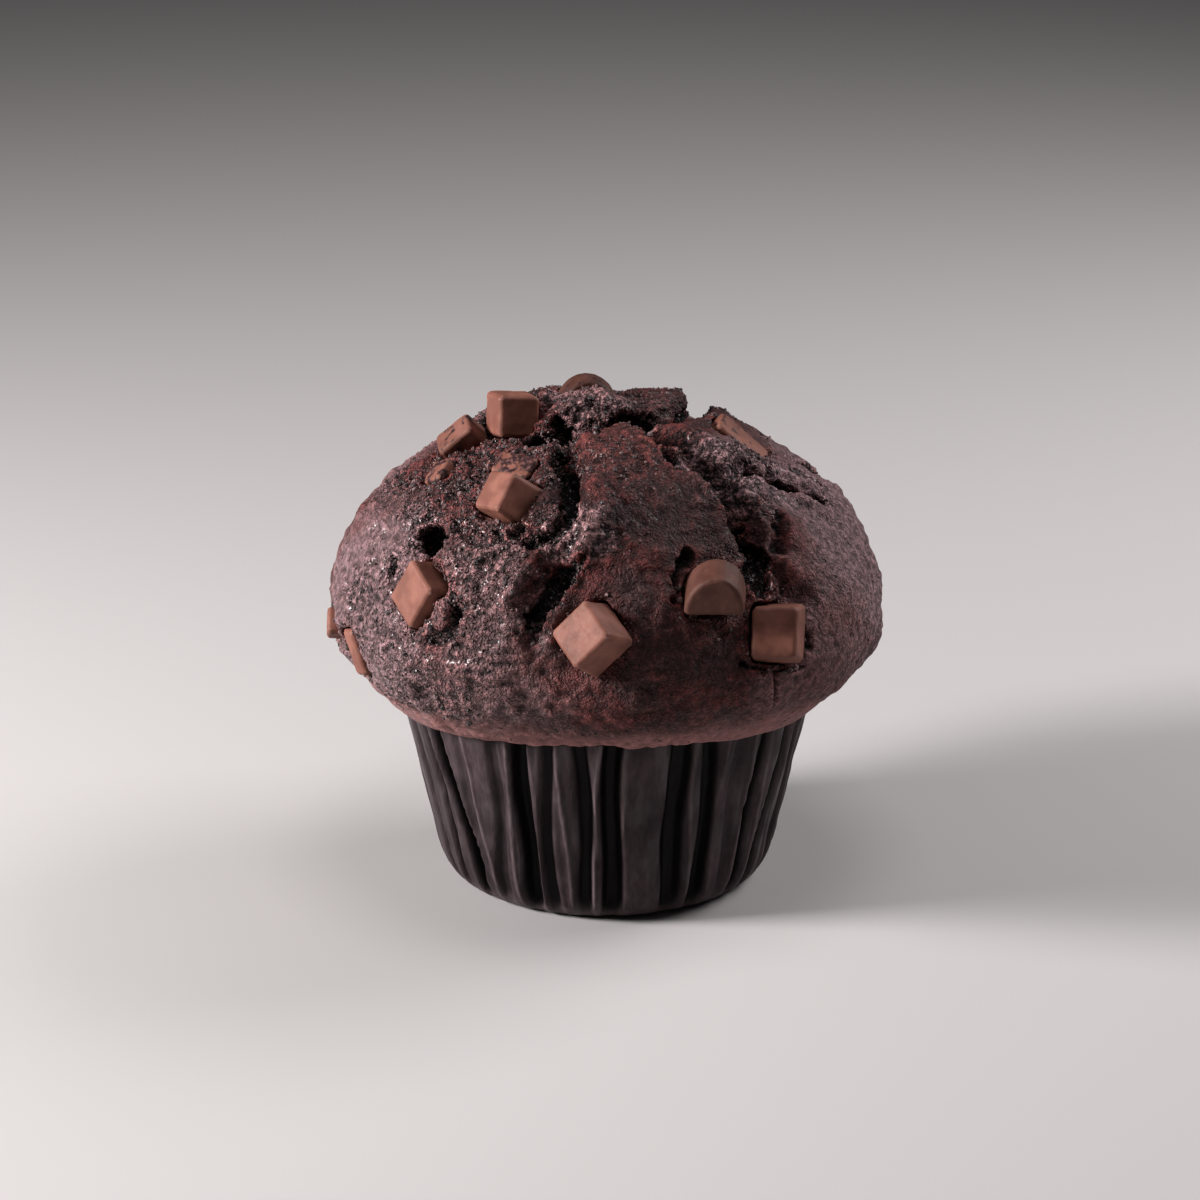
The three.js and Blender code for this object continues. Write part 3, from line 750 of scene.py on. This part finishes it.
def scatterCrumbs(name, places, directions, settings):
    rng = np.random.default_rng(settings["seed"])
    shapes = [crumbShape(settings["rounds"], 60 + 9 * k) for k in range(5)]
    allPoints, allFaces, tones = [], [], []
    first = 0
    for place, direction in zip(places, directions):
        points, faces = shapes[rng.integers(len(shapes))]
        small, large = settings["size"]
        size = small + (large - small) * rng.random() ** 2.4
        stretch = np.array([1, rng.uniform(0.65, 1), rng.uniform(0.6, 0.95)]) * size
        moved = (points * stretch) @ randomTurn(rng).T
        allPoints.append(moved + place + direction * size * (1 - 2 * settings["sunk"]))
        allFaces.append(faces + first)
        tones.append(np.full(len(points), rng.random()))
        first += len(points)
    mesh = bpy.data.meshes.new(name)
    mesh.from_pydata((np.concatenate(allPoints) * mm).tolist(), [], np.concatenate(allFaces).tolist())
    piece = bpy.data.objects.new(name, mesh)
    bpy.context.scene.collection.objects.link(piece)
    writeAttribute(piece, "tone", np.concatenate(tones))
    makeActive(piece)
    bpy.ops.object.shade_smooth_by_angle(angle=math.radians(35))
    return piece


def buildCrumbs(name, settings, crown, crack, crumby, nearChunk):
    rng = np.random.default_rng(settings["seed"])
    points, normals = readPoints(crown), readNormals(crown)
    above = points[:, 2] > 36
    cracked = np.nonzero((crack > 0.35) & above)[0]
    chunkSide = np.nonzero((nearChunk > 0.5) & (nearChunk < 1.5) & above)[0]
    rough = np.nonzero((crumby > 0.28) & (crack < 0.3) & (nearChunk > 0.8) & above)[0]
    weight = crumby[rough] ** 2
    picked = np.concatenate([rng.choice(cracked, settings["inCracks"], replace=False),
                             rng.choice(chunkSide, settings["byChunks"], replace=False),
                             rng.choice(rough, settings["onCrumby"], replace=False,
                                        p=weight / weight.sum())])
    return scatterCrumbs(name, points[picked], normals[picked], settings)


crumbLook = {
    "dark": (0.016, 0.0070, 0.0068),
    "pale": (0.160, 0.084, 0.083),
    # near-black painted shade in the crumbs' pores
    "pore": (0.008, 0.004, 0.004),
    "grain": 0.0005,  # metres
    "bump": 0.00020,  # metres
    "roughness": 0.5,
    "coat": 0.8,
    "coatRoughness": 0.25,
}


def crumbMaterial(grainGroup):
    look = crumbLook
    material, tree, principled = newMaterial("looseCrumbs")
    tone, = attributeNodes(tree, "tone")
    grain = addNode(tree, "ShaderNodeGroup", node_tree=grainGroup, Vector=objectPlace(tree),
                    Size=look["grain"], Fine=0.6, Pores=0.3).outputs
    colour = colourMix(tree, rangeNode(tree, tone, 0.3, 1.0), look["dark"], look["pale"])
    # Painted shade in the pores.
    setSockets(tree, principled, Base_Color=colourMix(tree, grain["Pore"], colour, look["pore"]),
               Roughness=look["roughness"], Coat_Roughness=look["coatRoughness"],
               Coat_Weight=multiplied(tree, grain["Speckle"], look["coat"]),
               Normal=bumpNormal(tree, grain["Height"], look["bump"]))
    return material


# The chocolate chunks
chunkShape = {
    "bevel": 0.10,  # mm, softening of every edge
    "voxel": 0.18,  # mm
    "softRounds": 1,
    "warp": 0.07,  # mm, how uneven the faces are
    "edgeStand": (0.015, 0.06),  # mm that an edge stands out, where its painted highlight starts and is full
    "seed": 90,
}
# Chunks painted darker as painted shade, where they lie in shadow, as a share of the usual tone
shadedChunks = {"chunk_01": 0.35, "chunk_03": 0.8, "chunk_08": 0.45, "chunk_09": 0.85}
# Chunks that crust has baked on to, and about how much of each it hides
crustyChunks = {"chunk_01": 0.45, "chunk_03": 0.35, "chunk_05": 0.75, "chunk_12": 0.35, "chunk_13": 0.60}


def buildChunk(nodeName, index):
    shape = chunkShape
    chunk = copyNode(nodeName, "choc_" + nodeName)
    editAll(chunk, bpy.ops.mesh.dissolve_limited, angle_limit=math.radians(3))
    applyModifier(chunk, "BEVEL", width=shape["bevel"] * mm, segments=2,
                  limit_method="ANGLE", angle_limit=math.radians(12))
    applyModifier(chunk, "REMESH", mode="VOXEL", voxel_size=shape["voxel"] * mm)
    edges = readEdges(chunk)
    writePoints(chunk, neighbourMean(readPoints(chunk), edges, shape["softRounds"]))
    points, normals = readPoints(chunk), readNormals(chunk)
    seed = shape["seed"] + 3 * index
    warp = softNoise(points, 2.6, seed) + 0.5 * softNoise(points, 1.1, seed + 1)
    points += normals * (shape["warp"] * warp)[:, None]
    writePoints(chunk, points)
    # edge marks where the chocolate gets a painted highlight along its edges.
    stand = np.sum((points - neighbourMean(points, edges, 3)) * normals, axis=1)
    writeAttribute(chunk, "edge", smoothStep(*shape["edgeStand"], stand))
    # tone: painted shade on the chunks that lie in shadow.
    writeAttribute(chunk, "tone", np.full(len(points), shadedChunks.get(nodeName, 1.0)))
    hidden = crustyChunks.get(nodeName, -1.0)  # below 0 no crust has baked on
    baked = softNoise(points, 1.6, seed + 2) + 0.6 * softNoise(points, 0.6, seed + 3)
    writeAttribute(chunk, "baked", smoothStep(0.0, 0.25, baked + 1.5 * (hidden - 0.5)))
    makeActive(chunk)
    bpy.ops.object.shade_smooth()
    return chunk


chocolateLook = {
    "dark": (0.140, 0.052, 0.036),
    "milky": (0.215, 0.087, 0.062),
    # painted highlight along the edges
    "edge": (0.52, 0.295, 0.245),
    "scuffed": (0.34, 0.17, 0.125),
    "fleck": (0.05, 0.02, 0.016),
    "crustDark": (0.022, 0.008, 0.008),
    "crustPale": (0.125, 0.056, 0.052),
    "edgeHighlightShare": 0.75,
    "roughness": (0.55, 0.68),
    "edgeShine": 0.28,  # how much smoother the melted edges are than the faces
    "specular": 0.18,
    "bump": 0.00003,  # metres
}


def chocolateMaterial():
    look = chocolateLook
    material, tree, principled = newMaterial("milkChocolate")
    place = objectPlace(tree)
    edge, tone, baked = attributeNodes(tree, "edge", "tone", "baked")
    cloud = rangeNode(tree, noiseNode(tree, place, 260.0, 3.0), 0.35, 0.68)
    scuff = noiseNode(tree, place, 1500.0, 3.0, 0.7)
    colour = colourMix(tree, cloud, look["dark"], look["milky"])
    # A painted highlight along the edges.
    colour = colourMix(tree, multiplied(tree, edge, look["edgeHighlightShare"]), colour, look["edge"])
    colour = colourMix(tree, rangeNode(tree, scuff, 0.60, 0.78, 0.0, 0.20), colour, look["scuffed"])
    flecks = rangeNode(tree, cellNode(tree, place, 900.0), 0.03, 0.10, 0.5, 0.0)
    colour = colourMix(tree, flecks, colour, look["fleck"])
    # Painted shade on the chunks that lie in shadow.
    colour = colourMix(tree, 1.0, colour, tone, blend="MULTIPLY")
    crust = colourMix(tree, rangeNode(tree, scuff, 0.45, 0.65), look["crustDark"], look["crustPale"])
    rough = rangeNode(tree, scuff, 0.35, 0.75, *look["roughness"])
    rough = mathNode(tree, "SUBTRACT", rough, multiplied(tree, edge, look["edgeShine"]))
    setSockets(tree, principled, Base_Color=colourMix(tree, baked, colour, crust), Roughness=rough,
               Specular_IOR_Level=look["specular"], Normal=bumpNormal(tree, scuff, look["bump"], 0.5))
    return material


# The pleated paper case
caseShape = {
    "baseRadius": 22.8,
    "corner": ((22.8, 0.0), (27.0, 0.6), (28.3, 8.5)),  # radius and height of its bending curve
    "rimRadius": 33.1,
    "rimHeight": 31.2,
    "rimWave": 1.5,
    "thickness": 0.22,
    "columns": 540,
    "cornerRows": 14,
    "wallRows": 40,
    "grooveDepth": 2.6,
    "foldHeight": 2.6,  # mm, where the grooves run out above the base
    "ridgeShare": 0.45,  # mm, the height of the tallest ridge
    "ridgeLift": 0.42,  # mm
    "inset": 0.15,  # mm that the panels lie inside the ridges
    "buckles": (((6.0, 14.0, 1), 0.28), ((2.2, 5.0, 1), 0.10)),  # size and height in mm
    "seed": 23,
}
# Grooves that show from the front: azimuth at the rim and at the base, depth share, half width
frontGrooves = (
    (-82, -78, 0.40, 0.8), (-70, -64, 0.30, 0.7), (-61, -55, 0.40, 0.5), (-55, -46.4, 1.0, 0.9),
    (-47, -42, 0.20, 0.8), (-33, -36, 0.30, 0.9), (-24.5, -26, 1.0, 1.15), (-17, -18, 0.45, 0.9),
    (-7, -6, 0.55, 1.0), (2.3, 1.0, 1.0, 1.25), (20.8, 22.8, 0.95, 1.5), (30.7, 33, 0.95, 1.2),
    (41, 41, 0.2, 0.9), (50, 49, 0.95, 0.9), (62.5, 57, 0.8, 0.8), (72, 70, 0.5, 0.8),
    (82, 82, 0.6, 0.8),
)
# Sharp folded ridges: azimuth at the rim and at the base, height in mm
frontRidges = (
    (-64, -58, 0.20), (-44, -38.5, 0.35), (-29.5, -30, 0.40),
    (-21.5, -22, 0.25), (-13, -12, 0.40), (-2, -4.5, 0.45), (4.8, 4.5, 0.30), (17, 18, 0.25),
    (26, 27.5, 0.35), (35, 37, 0.30), (46, 45.5, 0.35), (54, 53, 0.35), (67, 64, 0.3), (77, 76, 0.3),
)


def allGrooves():
    rng = np.random.default_rng(caseShape["seed"])
    grooves = [list(g) for g in frontGrooves]
    ridges = [list(r) for r in frontRidges]
    azimuth = 91.0
    while azimuth < 268.0:
        lean = rng.uniform(-4, 4)
        share = rng.choice([0.4, 0.7, 0.95, 1.0])
        grooves.append([azimuth, azimuth + lean, share, rng.uniform(0.75, 1.25)])
        step = rng.uniform(7.0, 12.5)
        ridges.append([azimuth + 0.5 * step, azimuth + 0.5 * step + 0.6 * lean, rng.uniform(0.2, 0.45)])
        azimuth += step
    return grooves, ridges


def caseProfile(shape):
    # Radius, height, how far up the wall, and how deep the grooves are, for each row of points.
    (r0, z0), (r1, z1), (r2, z2) = shape["corner"]
    rows = [(14.0, 0.0, 0.0, 0.0), (19.0, 0.0, 0.0, 0.0), (21.6, 0.0, 0.0, 0.15)]
    for k in range(shape["cornerRows"] + 1):
        t = k / shape["cornerRows"]
        radius = (1 - t) ** 2 * r0 + 2 * t * (1 - t) * r1 + t * t * r2
        height = (1 - t) ** 2 * z0 + 2 * t * (1 - t) * z1 + t * t * z2
        fold = float(smoothStep(0.5, shape["foldHeight"] * 1.8, np.array(height)))
        rows.append((radius, height, 0.25 * t, 0.12 + 0.88 * fold))
    for k in range(1, shape["wallRows"] + 1):
        t = k / shape["wallRows"]
        rows.append((r2 + (shape["rimRadius"] - r2) * t, z2 + (shape["rimHeight"] - z2) * t,
                     0.25 + 0.75 * t, 1.0))
    return rows


def wallDistance(degrees, radius, atRim, atBase, climb, sway):
    # How far each point lies from a line up the wall, in mm round the case.
    centre = atBase + (atRim - atBase) * climb + sway * (climb > 0)
    return np.abs((degrees - centre + 180) % 360 - 180) * math.pi / 180 * radius


def buildCase():
    shape = caseShape
    rows = caseProfile(shape)
    deselectAll()
    bpy.ops.mesh.primitive_circle_add(vertices=shape["columns"], radius=rows[0][0] * mm,
                                      fill_type="NGON", location=(0, 0, 0))
    case = bpy.context.object
    case.name = case.data.name = "pleated_case"
    bpy.ops.object.mode_set(mode="EDIT")
    bpy.ops.mesh.select_mode(type="EDGE")
    bpy.ops.mesh.select_all(action="DESELECT")
    bpy.ops.mesh.select_non_manifold()
    for _ in rows[1:]:
        bpy.ops.mesh.extrude_edges_move(TRANSFORM_OT_translate={"value": (0, 0, mm)})
    bpy.ops.object.mode_set(mode="OBJECT")

    flat = readPoints(case)
    level = np.rint(flat[:, 2]).astype(int)  # each row was extruded by one more millimetre
    azimuth = np.arctan2(flat[:, 0], -flat[:, 1])
    degrees = np.degrees(azimuth)
    table = np.array(rows)
    radius, height, climb, depth = (table[level, k] for k in range(4))
    crest = np.zeros(len(flat))
    cut = np.zeros(len(flat))
    grooves, ridges = allGrooves()
    unrolled = np.stack([radius * azimuth, height, np.zeros(len(flat))], axis=1)
    wander = 0.22 * softNoise(unrolled, (5, 9, 1), 3)
    for k, (atRim, atBase, share, halfWidth) in enumerate(grooves):
        sway = 0.8 * np.sin(6.0 * climb + 2.1 * k)
        away = wallDistance(degrees, radius, atRim, atBase, climb, sway) + wander
        cut = np.maximum(cut, share * (1 - smoothStep(0.55 * halfWidth, 1.6 * halfWidth, away)))
    for k, (atRim, atBase, rise) in enumerate(ridges):
        sway = 0.9 * np.sin(5.0 * climb + 1.7 * k)
        away = wallDistance(degrees, radius, atRim, atBase, climb, sway)
        sharp = np.clip(1 - away / 0.75, 0, 1) * smoothStep(0.02, 0.2, climb)
        crest = np.maximum(crest, rise / shape["ridgeShare"] * sharp)
    buckle = sum(rise * softNoise(unrolled, size, 61 + k) for k, (size, rise) in enumerate(shape["buckles"]))
    lift = shape["ridgeLift"] * crest - shape["inset"] + buckle
    radius = radius + (lift - shape["grooveDepth"] * cut) * depth
    waved = height + shape["rimWave"] * np.cos(2 * azimuth) * smoothStep(0.25, 1.0, climb)
    points = np.stack([radius * np.sin(azimuth), -radius * np.cos(azimuth), waved], axis=1)
    writePoints(case, points)
    # groove: where the grooves are painted near-black as painted shade.
    writeAttribute(case, "groove", cut * depth)
    writeAttribute(case, "crest", crest)
    writeAttribute(case, "climb", climb)
    editAll(case, bpy.ops.mesh.normals_make_consistent, inside=False)
    applyModifier(case, "SOLIDIFY", thickness=shape["thickness"] * mm, offset=-1.0)
    bpy.ops.object.shade_smooth()
    print("case:", len(case.data.vertices), "points")
    return case


paperLook = {
    "dark": (0.0240, 0.0160, 0.0182),
    "light": (0.0520, 0.0365, 0.0405),
    # crest colour: wear with a painted highlight along the folded ridges
    "crestWearAndHighlight": (0.135, 0.100, 0.106),
    # a painted highlight along the fold at the base
    "foldHighlight": (0.105, 0.076, 0.080),
    # near-black painted shade in the grooves
    "groove": (0.0020, 0.0015, 0.0017),
    "stretch": (1.0, 1.0, 0.22),  # fibres run up the wall
    "roughness": (0.46, 0.60),
    "sheen": 0.30,
    "coatRoughness": 0.34,
    "specular": 0.10,
    "bump": 0.00012,  # metres
}


def paperMaterial():
    look = paperLook
    material, tree, principled = newMaterial("bakingPaper")
    place = objectPlace(tree)
    groove, crest, climb = attributeNodes(tree, "groove", "crest", "climb")
    stretched = addNode(tree, "ShaderNodeMapping", Vector=place, Scale=look["stretch"]).outputs["Vector"]
    fibre = noiseNode(tree, stretched, 1600.0, 4.0)
    crinkle = noiseNode(tree, stretched, 420.0, 3.0)
    cloud = rangeNode(tree, noiseNode(tree, place, 120.0, 4.0), 0.35, 0.7)
    colour = colourMix(tree, cloud, look["dark"], look["light"])
    # The ridges are paler: wear with a painted highlight.
    colour = colourMix(tree, rangeNode(tree, crest, 0.25, 1.0, 0.0, 0.72), colour, look["crestWearAndHighlight"])
    # The paper is painted paler where it is folded up from the base: a painted highlight along the fold.
    fold = multiplied(tree, rangeNode(tree, climb, 0.01, 0.06, 0.0, 0.35),
                      rangeNode(tree, climb, 0.09, 0.15, 1.0, 0.0))
    colour = colourMix(tree, fold, colour, look["foldHighlight"])
    # Near-black painted shade in the grooves.
    colour = colourMix(tree, rangeNode(tree, groove, 0.06, 0.5, 0.0, 0.95), colour, look["groove"])
    fine = rangeNode(tree, fibre, 0.3, 0.7, 0.8, 1.25)
    sheen = multiplied(tree, rangeNode(tree, crinkle, 0.44, 0.66, 0.0, look["sheen"]),
                       rangeNode(tree, groove, 0.0, 0.3, 1.0, 0.0))
    setSockets(tree, principled, Base_Color=colourMix(tree, 1.0, colour, fine, blend="MULTIPLY"),
               Roughness=rangeNode(tree, fibre, 0.3, 0.7, *look["roughness"]),
               Coat_Weight=sheen, Coat_Roughness=look["coatRoughness"],
               Specular_IOR_Level=look["specular"],
               Normal=bumpNormal(tree, mathNode(tree, "ADD", fibre, crinkle), look["bump"], 0.7))
    return material


# Stage
def placeCamera():
    view = cameraView
    camera = bpy.data.objects.new("camera", bpy.data.cameras.new("camera"))
    bpy.context.scene.collection.objects.link(camera)
    camera.data.lens = view["lens"]
    camera.data.sensor_width = view["sensorWidth"]
    camera.data.clip_start = 0.01
    rise = math.radians(view["elevation"])
    back = Vector((0, -math.cos(rise), math.sin(rise))) * view["distance"]
    camera.location = Vector(view["target"]) + back
    camera.rotation_euler = (math.pi / 2 - rise, 0, 0)
    bpy.context.scene.camera = camera


def placeLights():
    target = Vector(cameraView["target"])
    for name, (place, size, power, colour) in studioLights.items():
        light = bpy.data.lights.new(name, "AREA")
        light.size = size
        light.energy = power
        light.color = colour
        lamp = bpy.data.objects.new(name, light)
        bpy.context.scene.collection.objects.link(lamp)
        lamp.location = place
        lamp.rotation_euler = (target - Vector(place)).to_track_quat("-Z", "Y").to_euler()
    world = bpy.data.worlds.new("studioAir")
    world.use_nodes = True
    tree = world.node_tree
    setSockets(tree, tree.nodes["Background"], Color=studioAir["colour"], Strength=studioAir["strength"])
    bpy.context.scene.world = world


def layFloor():
    deselectAll()
    bpy.ops.mesh.primitive_plane_add(size=floorLook["size"], location=(0, 0, -0.00002))
    floor = bpy.context.object
    floor.name = "floor"
    material, tree, principled = newMaterial("paleFloor")
    setSockets(tree, principled, Base_Color=floorLook["colour"], Roughness=floorLook["roughness"])
    floor.data.materials.append(material)


placeCamera()
placeLights()
layFloor()
bpy.context.scene.view_settings.view_transform = "Standard"
print("stage: ready")

bakedGrain = buildGrainGroup()
crust = crustMaterial(bakedGrain)
chocolate = chocolateMaterial()

crown, crownCrack, crownCrumby, crownNear = buildCrown()
crown.data.materials.append(crust)
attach(crown, "root")
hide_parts("cake")

stump = cutCake("cake_stump", clear_outer=True)
stump.data.materials.append(crust)
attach(stump, "root")

crumbCrust = crumbMaterial(bakedGrain)
for name, settings in crumbKinds.items():
    crumbs = buildCrumbs(name, settings, crown, crownCrack, crownCrumby, crownNear)
    crumbs.data.materials.append(crumbCrust)
    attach(crumbs, "root")
    print(name + ":", len(crumbs.data.polygons), "faces")

thinCrown(crown)

for index, name in enumerate(chunkNames):
    chunk = buildChunk(name, index)
    chunk.data.materials.append(chocolate)
    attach(chunk, "root")
    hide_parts(name)
print("chunks:", len(chunkNames), "pieces")

case = buildCase()
case.data.materials.append(paperMaterial())
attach(case, "root")
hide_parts("paper_case")

deselectAll()
